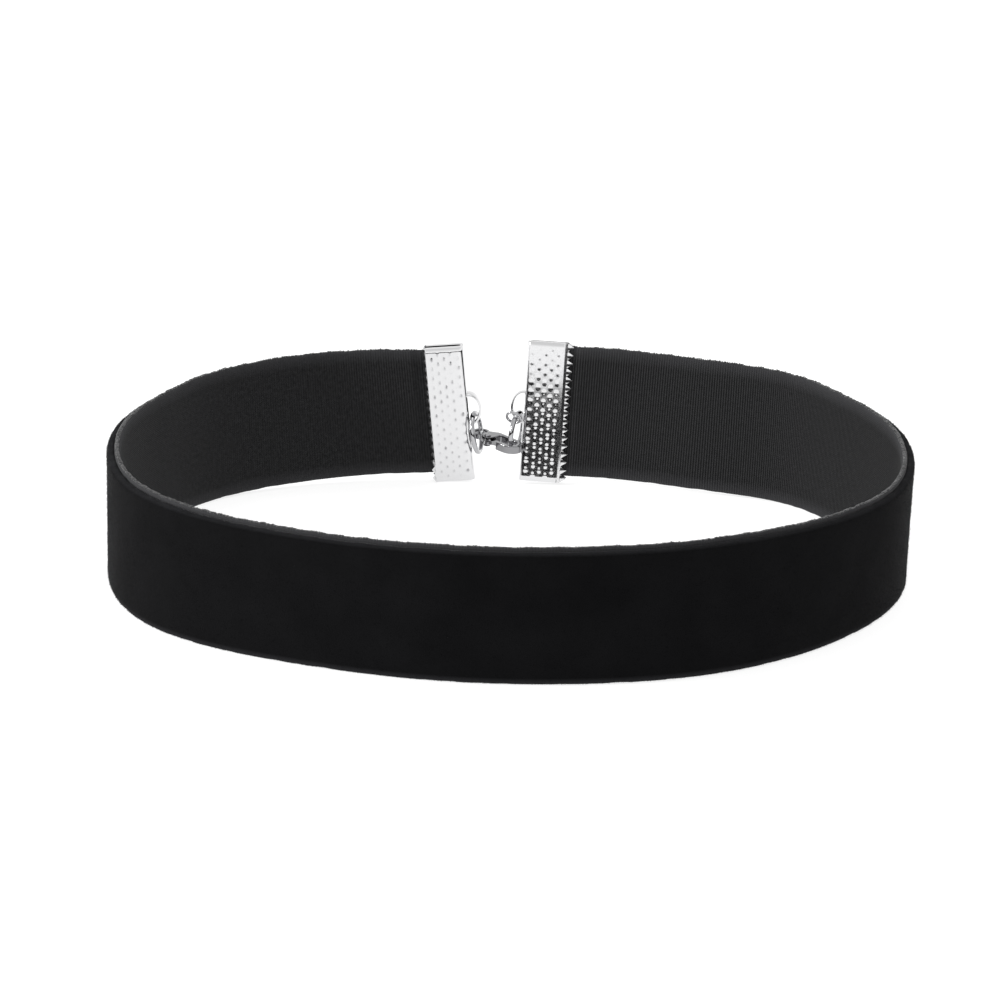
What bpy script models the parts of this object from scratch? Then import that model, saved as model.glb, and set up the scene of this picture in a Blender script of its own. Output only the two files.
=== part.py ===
"""Velvet ribbon choker with crimped metal ends and a small lobster clasp.

The loop stands on the ribbon's lower edge on z = 0. The front is at -Y, the clasp at +Y and
+X is on the right. Sizes are in metres.
"""
import math

import bmesh
import bpy
from mathutils import Matrix, Vector

MM = 0.001

# Ribbon
RIBBON_WIDTH = 15.0 * MM
RIBBON_THICKNESS = 1.5 * MM
PINCHED_THICKNESS = 1.0 * MM
PINCH_RUN = 1.0 * MM
LOOP_RADIUS = 43.3 * MM
LOOP_CENTRE_X = -0.34 * MM
LOOP_CENTRE_Y = -0.206 * MM
RIBBON_STEP = 2.2 * MM
PLAN_SAMPLES = 720
DIRECTION_STEP_ANGLE = 0.25

# Each row of the plan: angle from the front, positive to the right, in degrees; radius as a
# share of LOOP_RADIUS; lean of the ribbon's top away from the middle, in degrees
PLAN_ROWS = (
    (-166.9, 0.960, -5.0),
    (-150.0, 1.043, 0.6),
    (-135.0, 1.080, 0.3),
    (-120.0, 1.046, -2.2),
    (-90.0, 0.989, -0.3),
    (-60.0, 0.980, 2.6),
    (-30.0, 0.939, 6.3),
    (0.0, 0.961, 5.8),
    (30.0, 1.010, 5.9),
    (60.0, 1.016, 9.4),
    (90.0, 1.003, 2.1),
    (120.0, 1.017, 2.1),
    (135.0, 1.046, 5.4),
    (150.0, 0.989, 8.5),
    (169.7, 0.955, 8.4),
)

# The ends rise off the table and fan apart at the top, over this last part of the turn
END_BLEND_ANGLE = 42.0
END_LIFT = 1.05 * MM
LEFT_FAN_ANGLE = 4.5
RIGHT_FAN_ANGLE = 3.0

# Crimped ribbon ends
CRIMP_HEIGHT = 16.2 * MM
CRIMP_PLATE = 4.4 * MM
CRIMP_SHEET = 0.35 * MM
CRIMP_CLEARANCE = 0.2 * MM
RIBBON_END_GAP = 0.1 * MM
FOLD_STEPS = 8
DOT_COLUMN_PITCH = 0.72 * MM
DOT_ROW_PITCH = 1.13 * MM
DOT_RELIEF = 0.18 * MM
TOOTH_LENGTH = 0.7 * MM
TOOTH_PITCH = 0.95 * MM
TOOTH_ROOT = 0.25 * MM
TOOTH_VALLEY = 0.06 * MM
TOOTH_THICKNESS = 0.24 * MM
TOOTH_BEND_ANGLE = 9.0

# Loop pushed out of each crimp's fold
LOOP_REACH = 1.5 * MM
LOOP_HALF_HEIGHT = 1.9 * MM
LOOP_STRIP = 0.35 * MM
LOOP_WIDTH = 1.56 * MM
LOOP_RISE = 0.4 * MM
LOOP_STEPS = 12
SLOT_CLEARANCE = 0.1 * MM

# Jump rings, hung on the loops
RING_OUTER = 5.2 * MM
RING_WIRE = 0.65 * MM
RING_SEAT_OUT = 0.45 * MM
RING_SEAT_GAP = 0.35 * MM
RING_STEPS = 28
LEFT_HANG_ANGLE = 4.5
LEFT_TWIST_ANGLE = 7.0
RIGHT_HANG_ANGLE = 4.5
RIGHT_TWIST_ANGLE = -12.0

# Small link on the right jump ring
LINK_OUTER = 2.0 * MM
LINK_WIRE = 0.36 * MM
LINK_STEPS = 18
LINK_PLACE_ANGLE = 140.0

# Lobster clasp, from the left ring's rear strand to the right ring's front strand
CLASP_LEFT_PLACE_ANGLE = 65.0
CLASP_RIGHT_PLACE_ANGLE = 45.0
CLASP_THICKNESS = 1.05 * MM
CLASP_TILT_ANGLE = 2.0
EYE_OUTER_RADIUS = 1.15 * MM
EYE_HOLE_RADIUS = 0.68 * MM
EYE_THICKNESS = 0.8 * MM
NECK_HALF_WIDTH = 0.71 * MM
SPINE_WALL = 0.65 * MM
NOSE_WALL = 0.65 * MM
WIRE_CLEARANCE = 0.12 * MM
GRIP_ROOM = 0.4 * MM
CAVITY_HALF_WIDTH = 0.75 * MM
CAVITY_MOUTH_ANGLE = 80.0
CHEEK_ROUND_ANGLE = 110.0
ARC_STEPS = 8

# Sprung lever of the clasp
LEVER_THICKNESS = 0.5 * MM
LEVER_CLEARANCE = 0.1 * MM
LEVER_WIDTH = 0.55 * MM
LEVER_ROOT_RADIUS = 0.62 * MM
LEVER_TIP_GAP = 0.45 * MM
LEVER_OVERLAP = 0.45 * MM
THUMB_REACH = 0.45 * MM
THUMB_START = 0.31 * MM
THUMB_TO_NOSE = 0.59 * MM
LEVER_SHOULDER = 0.385 * MM
LEVER_STEP = 0.19 * MM
LEVER_ROOT_START_ANGLE = 210.0
LEVER_ROOT_END_ANGLE = 75.0
PIN_RADIUS = 0.25 * MM
PIN_CLEARANCE = 0.08 * MM
PIN_HEAD_RADIUS = 0.45 * MM
PIN_HEAD_TOP_RADIUS = 0.27 * MM
PIN_HEAD_HEIGHT = 0.14 * MM
PIN_STEPS = 16

# Rows of the thumb piece: place as a share of its length, height as a share of its reach
THUMB_ROWS = (
    (0.0, 0.86),
    (0.3, 1.0),
    (0.8, 0.9),
)

# Surfaces, with base colour, roughness and metallic value
SURFACES = {
    "velvet": ((0.008, 0.008, 0.009), 0.95, 0.0),
    "plated_steel": ((0.82, 0.82, 0.83), 0.22, 1.0),
}

PLAN_ANGLES = [row[0] for row in PLAN_ROWS]


def plan_value(angle, column):
    """Smooth value of one column of the plan at an angle, through every row."""
    last = len(PLAN_ROWS) - 1
    row = 0
    while row < last - 1 and angle > PLAN_ANGLES[row + 1]:
        row += 1

    def slope(at):
        low = max(at - 1, 0)
        high = min(at + 1, last)
        rise = PLAN_ROWS[high][column] - PLAN_ROWS[low][column]
        return rise / (PLAN_ANGLES[high] - PLAN_ANGLES[low])

    gap = PLAN_ANGLES[row + 1] - PLAN_ANGLES[row]
    t = (angle - PLAN_ANGLES[row]) / gap
    start, end = PLAN_ROWS[row][column], PLAN_ROWS[row + 1][column]
    value = (2 * t ** 3 - 3 * t ** 2 + 1) * start + (3 * t ** 2 - 2 * t ** 3) * end
    value += (t ** 3 - 2 * t ** 2 + t) * gap * slope(row)
    value += (t ** 3 - t ** 2) * gap * slope(row + 1)
    return value


def plan_point(angle):
    """Middle of the ribbon in plan."""
    radius = LOOP_RADIUS * plan_value(angle, 1)
    turn = math.radians(angle)
    x = LOOP_CENTRE_X + radius * math.sin(turn)
    y = LOOP_CENTRE_Y - radius * math.cos(turn)
    return Vector((x, y, 0.0))


def smooth_step(t):
    t = min(max(t, 0.0), 1.0)
    return t * t * (3 - 2 * t)


def ribbon_frame(angle):
    """Directions along the ribbon, outward and up its width, and its middle point."""
    before = plan_point(max(angle - DIRECTION_STEP_ANGLE, PLAN_ANGLES[0]))
    after = plan_point(min(angle + DIRECTION_STEP_ANGLE, PLAN_ANGLES[-1]))
    along = (after - before).normalized()
    outward = along.cross(Vector((0.0, 0.0, 1.0)))
    if angle < 0:
        near_end = smooth_step((-angle + PLAN_ANGLES[0] + END_BLEND_ANGLE) / END_BLEND_ANGLE)
        fan = math.radians(LEFT_FAN_ANGLE) * near_end
    else:
        near_end = smooth_step((angle - PLAN_ANGLES[-1] + END_BLEND_ANGLE) / END_BLEND_ANGLE)
        fan = -math.radians(RIGHT_FAN_ANGLE) * near_end
    lean = math.radians(plan_value(angle, 2))
    up = Vector((0.0, 0.0, 1.0)) * math.cos(lean) + outward * math.sin(lean)
    up = up * math.cos(fan) + along * math.sin(fan)
    middle = plan_point(angle)
    middle.z = END_LIFT * near_end + RIBBON_WIDTH / 2 * up.z
    return along, outward, up, middle


def ribbon_stations():
    """Frames along the ribbon from end to end, with the distance to the nearer end."""
    count = PLAN_SAMPLES
    turn = PLAN_ANGLES[-1] - PLAN_ANGLES[0]
    angles = [PLAN_ANGLES[0] + turn * i / count for i in range(count + 1)]
    points = [plan_point(angle) for angle in angles]
    lengths = [0.0]
    for before, after in zip(points, points[1:]):
        lengths.append(lengths[-1] + (after - before).length)
    free = lengths[-1]
    spans = round(free / RIBBON_STEP)
    inside = crimp_mouth() - ribbon_end()
    stations = []
    for share in (0.0, 0.5):
        stations.append((angles[0], inside * (1 - share), inside * share))
    walk = 0
    for i in range(spans + 1):
        target = free * i / spans
        while walk < count - 1 and lengths[walk + 1] < target:
            walk += 1
        t = (target - lengths[walk]) / (lengths[walk + 1] - lengths[walk])
        angle = angles[walk] + (angles[walk + 1] - angles[walk]) * t
        stations.append((angle, 0.0, inside + min(target, free - target)))
        if i == 0 or i == spans - 1:
            extra = PINCH_RUN if i == 0 else free - PINCH_RUN
            near = min(range(count), key=lambda j: abs(lengths[j] - extra))
            stations.append((angles[near], 0.0, inside + PINCH_RUN))
    for share in (0.5, 1.0):
        stations.append((angles[-1], inside * share, inside * (1 - share)))
    return stations, inside


def crimp_half_inner():
    return PINCHED_THICKNESS / 2 + CRIMP_CLEARANCE


def crimp_half_outer():
    return crimp_half_inner() + CRIMP_SHEET


def crimp_mouth():
    """Distance from the fold's outside to where the ribbon comes out free."""
    return CRIMP_PLATE + TOOTH_LENGTH + CRIMP_CLEARANCE


def ribbon_end():
    """Distance from the fold's outside to the ribbon's cut end."""
    half = PINCHED_THICKNESS / 2
    depth = math.sqrt(crimp_half_inner() ** 2 - half ** 2)
    return crimp_half_outer() - depth + RIBBON_END_GAP


def link_to_parts(mesh, name, surface, smooth_angle=None):
    shape = bpy.data.objects.new(name, mesh)
    parts.objects.link(shape)
    mesh.materials.append(materials[surface])
    if smooth_angle is not None:
        mesh.shade_smooth()
        mesh.set_sharp_from_angle(angle=math.radians(smooth_angle))
    return shape


def mesh_from_bmesh(shape, name):
    bmesh.ops.recalc_face_normals(shape, faces=shape.faces)
    mesh = bpy.data.meshes.new(name)
    shape.to_mesh(mesh)
    shape.free()
    return mesh


def loft(sections, name, closed_loop=False):
    """Closed solid through sections that have the same number of points."""
    shape = bmesh.new()
    rows = [[shape.verts.new(point) for point in section] for section in sections]
    pairs = list(zip(rows, rows[1:]))
    if closed_loop:
        pairs.append((rows[-1], rows[0]))
    for row, after in pairs:
        for i in range(len(row)):
            j = (i + 1) % len(row)
            shape.faces.new((row[i], row[j], after[j], after[i]))
    if not closed_loop:
        shape.faces.new(rows[0])
        shape.faces.new(rows[-1])
    return mesh_from_bmesh(shape, name)


def prism(outline, thickness, name):
    """Flat outline in X and Y, given a thickness along Z about its middle."""
    low = [Vector((x, y, -thickness / 2)) for x, y in outline]
    high = [Vector((x, y, thickness / 2)) for x, y in outline]
    return loft([low, high], name)


def arc(centre, radius, start, end, steps):
    points = []
    for i in range(steps + 1):
        turn = math.radians(start + (end - start) * i / steps)
        points.append((centre[0] + radius * math.cos(turn), centre[1] + radius * math.sin(turn)))
    return points


def make_cutter(mesh, name, matrix):
    cutter = bpy.data.objects.new(name, mesh)
    cutter.matrix_world = matrix
    cutter.hide_render = True
    cutter.display_type = "WIRE"
    cutters.objects.link(cutter)
    return cutter


def add_boolean(shape, cutter, operation):
    modifier = shape.modifiers.new(cutter.name, "BOOLEAN")
    modifier.operation = operation
    modifier.object = cutter
    modifier.solver = "EXACT"


def make_ribbon():
    """One flat strip bent round on edge, pinched thinner where the crimps hold it."""
    stations, inside = ribbon_stations()
    sections = []
    for angle, past_end, from_end in stations:
        along, outward, up, middle = ribbon_frame(angle)
        side = -1.0 if angle < 0 else 1.0
        middle = middle + along * (side * past_end)
        swell = smooth_step((from_end - inside) / PINCH_RUN)
        half = (PINCHED_THICKNESS + (RIBBON_THICKNESS - PINCHED_THICKNESS) * swell) / 2
        reach = up * (RIBBON_WIDTH / 2)
        sections.append([
            middle + outward * half - reach,
            middle + outward * half + reach,
            middle - outward * half + reach,
            middle - outward * half - reach,
        ])
    mesh = loft(sections, "ribbon")
    return link_to_parts(mesh, "ribbon", "velvet", 40)


def crimp_matrix(angle):
    """Frame at the fold of a crimp: X out of the ribbon's end, Y outward, Z up."""
    along, outward, up, middle = ribbon_frame(angle)
    side = -1.0 if angle < 0 else 1.0
    fold = middle + along * (side * crimp_mouth())
    x_axis = along * side
    y_axis = outward - up * outward.dot(up)
    y_axis.normalize()
    x_axis = x_axis - up * x_axis.dot(up)
    x_axis.normalize()
    matrix = Matrix((x_axis, y_axis, up)).transposed().to_4x4()
    matrix.translation = fold
    return matrix


def crimp_sheet_mesh(name):
    """Sheet folded over the ribbon's end, its two plates embossed with rows of dots."""
    outer, inner = crimp_half_outer(), crimp_half_inner()
    column_step, row_step = DOT_COLUMN_PITCH / 2, DOT_ROW_PITCH / 2
    columns = int((CRIMP_PLATE - outer - column_step / 2) / column_step)
    rows = int((CRIMP_HEIGHT / 2 - row_step / 4) / row_step)
    heights = [-CRIMP_HEIGHT / 2]
    heights += [row_step * j for j in range(-rows, rows + 1)]
    heights.append(CRIMP_HEIGHT / 2)
    plate = [-outer - column_step * (i + 0.5) for i in range(columns)]
    path = [(-CRIMP_PLATE, -1.0, None)]
    path += [(plate[i], -1.0, i) for i in reversed(range(columns))]
    path += [(None, -90.0 + 180.0 * i / FOLD_STEPS, None) for i in range(FOLD_STEPS + 1)]
    path += [(plate[i], 1.0, i) for i in range(columns)]
    path.append((-CRIMP_PLATE, 1.0, None))

    def path_point(step, half, relief, height):
        x, turn, column = step
        if x is None:
            angle = math.radians(turn)
            return Vector((-outer + half * math.cos(angle), half * math.sin(angle), height))
        return Vector((x, turn * (half + relief), height))

    def relief_at(step, j):
        column = step[2]
        if column is None or column % 2 or j in (0, len(heights) - 1):
            return 0.0
        return DOT_RELIEF if (j + column // 2) % 2 else 0.0

    shape = bmesh.new()
    grid = [
        [shape.verts.new(path_point(step, outer, relief_at(step, j), height)) for step in path]
        for j, height in enumerate(heights)
    ]
    ends = [
        [shape.verts.new(path_point(step, inner, 0.0, height)) for step in path]
        for height in (heights[0], heights[-1])
    ]
    for i in range(len(path) - 1):
        for row, after in zip(grid, grid[1:]):
            shape.faces.new((row[i], row[i + 1], after[i + 1], after[i]))
        shape.faces.new((ends[0][i], ends[0][i + 1], ends[1][i + 1], ends[1][i]))
        shape.faces.new((grid[0][i], grid[0][i + 1], ends[0][i + 1], ends[0][i]))
        shape.faces.new((grid[-1][i], grid[-1][i + 1], ends[1][i + 1], ends[1][i]))
    for i in (0, len(path) - 1):
        shape.faces.new([row[i] for row in grid] + [ends[1][i], ends[0][i]])
    return mesh_from_bmesh(shape, name)


def tooth_comb_mesh(name):
    """Row of pointed teeth, in X and Y with its tips towards -X."""
    count = int((CRIMP_HEIGHT - TOOTH_PITCH / 2) / TOOTH_PITCH)
    half = count * TOOTH_PITCH / 2
    outline = [(TOOTH_ROOT, -half), (TOOTH_ROOT, half), (TOOTH_VALLEY, half)]
    for i in range(count):
        high = half - i * TOOTH_PITCH
        outline.append((-TOOTH_LENGTH, high - TOOTH_PITCH / 2))
        outline.append((TOOTH_VALLEY, high - TOOTH_PITCH))
    return prism(outline, TOOTH_THICKNESS, name)


def fold_loop_mesh(name):
    """D-shaped strip standing out of the fold, in X and Y with the crimp's height along Y."""
    root = -crimp_half_outer() / 2

    def ellipse(shrink, turn):
        x = (LOOP_REACH - shrink) * math.cos(turn)
        y = (LOOP_HALF_HEIGHT - shrink) * math.sin(turn)
        return (x, y)

    turns = [math.radians(-90 + 180 * i / LOOP_STEPS) for i in range(1, LOOP_STEPS)]
    outline = [(root, -LOOP_HALF_HEIGHT)]
    outline += [ellipse(0.0, turn) for turn in turns]
    outline += [(root, LOOP_HALF_HEIGHT), (root, LOOP_HALF_HEIGHT - LOOP_STRIP)]
    outline += [ellipse(LOOP_STRIP, turn) for turn in reversed(turns)]
    outline.append((root, LOOP_STRIP - LOOP_HALF_HEIGHT))
    return prism(outline, LOOP_WIDTH, name)


def make_crimp(name, matrix):
    """Folded sheet with dots, teeth on both mouth edges and a loop cut from the fold."""
    crimp = link_to_parts(crimp_sheet_mesh(name), name, "plated_steel", 30)
    crimp.matrix_world = matrix
    slot_half = LOOP_HALF_HEIGHT - LOOP_STRIP - SLOT_CLEARANCE
    slot_width = LOOP_WIDTH / 2
    reach = crimp_half_outer()
    back = SLOT_CLEARANCE - reach
    slot = [(back, -slot_half), (reach, -slot_half), (reach, slot_half), (back, slot_half)]
    stand = Matrix.Translation((0.0, 0.0, LOOP_RISE)) @ Matrix.Rotation(math.radians(90), 4, "X")
    slot_mesh = prism(slot, 2 * slot_width, name + "_slot")
    add_boolean(crimp, make_cutter(slot_mesh, name + "_slot", matrix @ stand), "DIFFERENCE")
    loop_mesh = fold_loop_mesh(name + "_loop")
    add_boolean(crimp, make_cutter(loop_mesh, name + "_loop", matrix @ stand), "UNION")
    middle = (crimp_half_inner() + crimp_half_outer()) / 2
    for side, label in ((-1.0, "inner"), (1.0, "outer")):
        bend = Matrix.Rotation(math.radians(side * TOOTH_BEND_ANGLE), 4, "Z")
        turn = Matrix.Rotation(math.radians(90), 4, "X")
        place = Matrix.Translation((-CRIMP_PLATE, side * middle, 0.0)) @ bend @ turn
        comb_name = name + "_teeth_" + label
        comb = make_cutter(tooth_comb_mesh(comb_name), comb_name, matrix @ place)
        add_boolean(crimp, comb, "UNION")
    return crimp


def ring_matrix(crimp, hang_angle, twist_angle):
    """Frame of a ring hung on a crimp's loop: X down, Y outward, Z along its own axis."""
    hang, twist = math.radians(hang_angle), math.radians(twist_angle)
    radius = (RING_OUTER - RING_WIRE) / 2
    inner_reach = LOOP_REACH - LOOP_STRIP
    inner_height = LOOP_HALF_HEIGHT - LOOP_STRIP
    leg = inner_height * math.sqrt(1 - (RING_SEAT_OUT / inner_reach) ** 2)
    seat = Vector((RING_SEAT_OUT, 0.0, LOOP_RISE - leg + RING_SEAT_GAP + RING_WIRE / 2))
    down = Vector((math.sin(hang), 0.0, -math.cos(hang)))
    outward = Vector((math.sin(twist), math.cos(twist), 0.0))
    outward = (outward - down * outward.dot(down)).normalized()
    local = Matrix((down, outward, down.cross(outward))).transposed().to_4x4()
    local.translation = seat + down * radius
    return crimp @ local


def ring_point(matrix, radius, place_angle):
    """Point on a ring's wire, its angle counted from the bottom towards the outside."""
    turn = math.radians(place_angle)
    return matrix @ Vector((radius * math.cos(turn), radius * math.sin(turn), 0.0))


def make_ring(name, matrix, outer, wire, steps, sides=6):
    """Closed ring of round wire."""
    radius = (outer - wire) / 2
    sections = []
    for i in range(steps):
        turn = 2 * math.pi * i / steps
        centre = Vector((radius * math.cos(turn), radius * math.sin(turn), 0.0))
        outward = centre.normalized()
        section = []
        for j in range(sides):
            around = 2 * math.pi * (j + 0.5) / sides
            offset = outward * math.cos(around) + Vector((0.0, 0.0, math.sin(around)))
            section.append(centre + offset * (wire / 2))
        sections.append(section)
    ring = link_to_parts(loft(sections, name, closed_loop=True), name, "plated_steel", 75)
    ring.matrix_world = matrix
    return ring


def link_matrix(ring):
    """Frame of the small link that hangs on the right ring's upper front strand."""
    radius = (RING_OUTER - RING_WIRE) / 2
    turn = math.radians(-LINK_PLACE_ANGLE)
    across = Vector((math.cos(turn), math.sin(turn), 0.0))
    tangent = Vector((-math.sin(turn), math.cos(turn), 0.0))
    normal = across.cross(tangent)
    slack = LINK_OUTER / 2 - LINK_WIRE - RING_WIRE / 2 - WIRE_CLEARANCE
    local = Matrix((across, normal, -tangent)).transposed().to_4x4()
    local.translation = across * radius + Vector((0.0, 0.0, slack))
    return ring @ local


def clasp_matrix(left_ring, right_ring):
    """Frame at the clasp's eye: X towards the nose, Y towards the lever, Z along the pin."""
    radius = (RING_OUTER - RING_WIRE) / 2
    eye = ring_point(left_ring, radius, CLASP_LEFT_PLACE_ANGLE)
    grip = ring_point(right_ring, radius, -CLASP_RIGHT_PLACE_ANGLE)
    forward = (grip - eye).normalized()
    tilt = math.radians(CLASP_TILT_ANGLE)
    flat = Vector((0.0, -math.sin(tilt), math.cos(tilt)))
    flat = (flat - forward * flat.dot(forward)).normalized()
    matrix = Matrix((forward, flat.cross(forward), flat)).transposed().to_4x4()
    matrix = matrix @ Matrix.Rotation(math.pi, 4, "X")
    matrix.translation = eye
    return matrix, (grip - eye).length


def clasp_sizes(span):
    """Places along and across the clasp that its body, lever and pin share."""
    sizes = {}
    sizes["grip"] = span
    sizes["cavity_end"] = span + RING_WIRE / 2 + GRIP_ROOM
    sizes["nose_end"] = sizes["cavity_end"] + NOSE_WALL
    sizes["pin"] = EYE_OUTER_RADIUS + LEVER_ROOT_RADIUS
    sizes["pin_across"] = CAVITY_HALF_WIDTH
    sizes["cavity_start"] = sizes["pin"] + LEVER_ROOT_RADIUS + LEVER_CLEARANCE
    sizes["lever_tip"] = span - RING_WIRE / 2 - LEVER_TIP_GAP
    sizes["nose_tip"] = sizes["lever_tip"] - LEVER_OVERLAP
    sizes["outer"] = CAVITY_HALF_WIDTH + SPINE_WALL
    return sizes


def clasp_body_outline(sizes):
    """Hook outline: round the spine, the nose and its tip, then back inside the cavity."""
    outer, cavity, neck = sizes["outer"], CAVITY_HALF_WIDTH, NECK_HALF_WIDTH
    root_x, root_y = sizes["pin"], sizes["pin_across"]
    nose_centre = sizes["nose_end"] - outer
    cavity_centre = sizes["cavity_end"] - cavity
    outline = [(neck, -neck), (root_x, -outer)]
    outline += arc((nose_centre, 0.0), outer, -90, 90, 2 * ARC_STEPS)
    outline.append((sizes["nose_tip"], outer))
    outline.append((sizes["nose_tip"], cavity + LEVER_CLEARANCE))
    outline.append((cavity_centre, cavity + LEVER_CLEARANCE / 2))
    outline += arc((cavity_centre, 0.0), cavity, CAVITY_MOUTH_ANGLE, -90, 2 * ARC_STEPS)
    outline.append((sizes["cavity_start"], -cavity))
    outline.append((sizes["cavity_start"], cavity / 2))
    outline += arc((root_x, root_y), LEVER_ROOT_RADIUS, 0, CHEEK_ROUND_ANGLE, ARC_STEPS)
    outline.append((neck, neck))
    return outline


def make_clasp_body(matrix, sizes):
    """Eye and hook in one casting, slotted for the lever's root and drilled for the pin."""
    name = "clasp_body"
    mesh = prism(clasp_body_outline(sizes), CLASP_THICKNESS, name)
    body = link_to_parts(mesh, name, "plated_steel", 40)
    body.matrix_world = matrix
    eye_outline = arc((0.0, 0.0), EYE_OUTER_RADIUS, 0, 360 - 360 / PIN_STEPS, PIN_STEPS - 1)
    eye_mesh = prism(eye_outline, EYE_THICKNESS, name + "_eye")
    add_boolean(body, make_cutter(eye_mesh, name + "_eye", matrix), "UNION")
    hole_outline = arc((0.0, 0.0), EYE_HOLE_RADIUS, 0, 360 - 360 / PIN_STEPS, PIN_STEPS - 1)
    hole_mesh = prism(hole_outline, 2 * CLASP_THICKNESS, name + "_eye_hole")
    add_boolean(body, make_cutter(hole_mesh, name + "_eye_hole", matrix), "DIFFERENCE")
    slot_thickness = LEVER_THICKNESS + 2 * LEVER_CLEARANCE
    low = sizes["pin"] - LEVER_ROOT_RADIUS - LEVER_CLEARANCE
    side = sizes["pin_across"] - LEVER_ROOT_RADIUS - LEVER_CLEARANCE
    slot = [(low, side), (sizes["cavity_start"] + LEVER_CLEARANCE, side)]
    slot += [(sizes["cavity_start"] + LEVER_CLEARANCE, 2 * sizes["outer"])]
    slot += [(low, 2 * sizes["outer"])]
    slot_mesh = prism(slot, slot_thickness, name + "_lever_slot")
    add_boolean(body, make_cutter(slot_mesh, name + "_lever_slot", matrix), "DIFFERENCE")
    pin_hole = arc((sizes["pin"], sizes["pin_across"]), PIN_RADIUS + PIN_CLEARANCE, 0,
                   360 - 360 / PIN_STEPS, PIN_STEPS - 1)
    pin_mesh = prism(pin_hole, 2 * CLASP_THICKNESS, name + "_pin_hole")
    add_boolean(body, make_cutter(pin_mesh, name + "_pin_hole", matrix), "DIFFERENCE")
    return body


def lever_outline(sizes):
    """Lever outline about its pin: round root, thumb piece and an arm ending at the nose."""
    reach = sizes["lever_tip"] - sizes["pin"]
    nose = reach - LEVER_OVERLAP - LEVER_CLEARANCE
    thumb_length = nose - THUMB_START - THUMB_TO_NOSE
    thumb = LEVER_ROOT_RADIUS + THUMB_REACH
    outline = arc((0.0, 0.0), LEVER_ROOT_RADIUS, LEVER_ROOT_START_ANGLE,
                  LEVER_ROOT_END_ANGLE, ARC_STEPS)
    outline += [(THUMB_START + thumb_length * place, thumb * height)
                for place, height in THUMB_ROWS]
    outline.append((THUMB_START + thumb_length, LEVER_SHOULDER))
    outline.append((nose, LEVER_STEP))
    outline.append((reach - LEVER_OVERLAP, 0.0))
    outline += [(reach, 0.0), (reach, -LEVER_SHOULDER)]
    outline.append((LEVER_ROOT_RADIUS, -LEVER_WIDTH))
    return outline


def make_lever(matrix, sizes):
    """Sprung arm that closes the hook, its origin on the pin's axis."""
    name = "clasp_lever"
    place = matrix @ Matrix.Translation((sizes["pin"], sizes["pin_across"], 0.0))
    lever = link_to_parts(prism(lever_outline(sizes), LEVER_THICKNESS, name), name,
                          "plated_steel", 40)
    lever.matrix_world = place
    hole = arc((0.0, 0.0), PIN_RADIUS + PIN_CLEARANCE, 0, 360 - 360 / PIN_STEPS, PIN_STEPS - 1)
    hole_mesh = prism(hole, 2 * CLASP_THICKNESS, name + "_hole")
    add_boolean(lever, make_cutter(hole_mesh, name + "_hole", place), "DIFFERENCE")
    return lever


def make_pin(matrix, sizes):
    """Rivet through both cheeks and the lever, with a low round head on each face."""
    half = CLASP_THICKNESS / 2 + PIN_CLEARANCE
    rings = [(PIN_HEAD_TOP_RADIUS, half + PIN_HEAD_HEIGHT)]
    rings += [(PIN_HEAD_RADIUS, half + PIN_HEAD_HEIGHT / 3), (PIN_HEAD_RADIUS, half)]
    rings += [(PIN_RADIUS, half)]
    rings += [(radius, -height) for radius, height in reversed(rings)]
    sections = []
    for radius, height in rings:
        turns = [2 * math.pi * i / PIN_STEPS for i in range(PIN_STEPS)]
        sections.append([
            Vector((radius * math.cos(turn), radius * math.sin(turn), height)) for turn in turns
        ])
    pin = link_to_parts(loft(sections, "clasp_pin"), "clasp_pin", "plated_steel", 40)
    pin.matrix_world = matrix @ Matrix.Translation((sizes["pin"], sizes["pin_across"], 0.0))
    return pin


def make_materials():
    made = {}
    for name, (colour, roughness, metallic) in SURFACES.items():
        material = bpy.data.materials.new(name)
        material.use_nodes = True
        surface = material.node_tree.nodes["Principled BSDF"]
        surface.inputs["Base Color"].default_value = (*colour, 1.0)
        surface.inputs["Roughness"].default_value = roughness
        surface.inputs["Metallic"].default_value = metallic
        made[name] = material
    return made


def new_collection(name):
    collection = bpy.data.collections.new(name)
    bpy.context.scene.collection.children.link(collection)
    return collection


for old in list(bpy.data.objects):
    bpy.data.objects.remove(old, do_unlink=True)

materials = make_materials()
parts = new_collection("ribbon_choker")
cutters = new_collection("cutters")

make_ribbon()
left_crimp = crimp_matrix(PLAN_ANGLES[0])
right_crimp = crimp_matrix(PLAN_ANGLES[-1])
make_crimp("left_crimp", left_crimp)
make_crimp("right_crimp", right_crimp)

left_ring = ring_matrix(left_crimp, LEFT_HANG_ANGLE, LEFT_TWIST_ANGLE)
right_ring = ring_matrix(right_crimp, RIGHT_HANG_ANGLE, RIGHT_TWIST_ANGLE)
make_ring("left_jump_ring", left_ring, RING_OUTER, RING_WIRE, RING_STEPS)
make_ring("right_jump_ring", right_ring, RING_OUTER, RING_WIRE, RING_STEPS)
make_ring("small_link", link_matrix(right_ring), LINK_OUTER, LINK_WIRE, LINK_STEPS)

clasp, clasp_span = clasp_matrix(left_ring, right_ring)
clasp_places = clasp_sizes(clasp_span)
make_clasp_body(clasp, clasp_places)
make_lever(clasp, clasp_places)
make_pin(clasp, clasp_places)
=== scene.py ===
# %% [markdown]
# # A velvet ribbon choker
#
# This lesson dresses a small piece of jewellery: a black velvet ribbon bent into a loop, with a
# folded metal crimp on each end, a jump ring on each crimp and a lobster clasp between the rings.
# The engineering model gives every piece its place. Here each one gets the surface that the eye
# sees: a cut pile, a woven back, pressed and plated metal.
#
# The model is loaded first, because everything below takes its place from it. Its parts are kept,
# so that each crimp can be measured against its part's box.

# %% Load the model and keep its box
import math

import bmesh
import bpy
import numpy as np
from mathutils import Matrix, Vector


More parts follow.
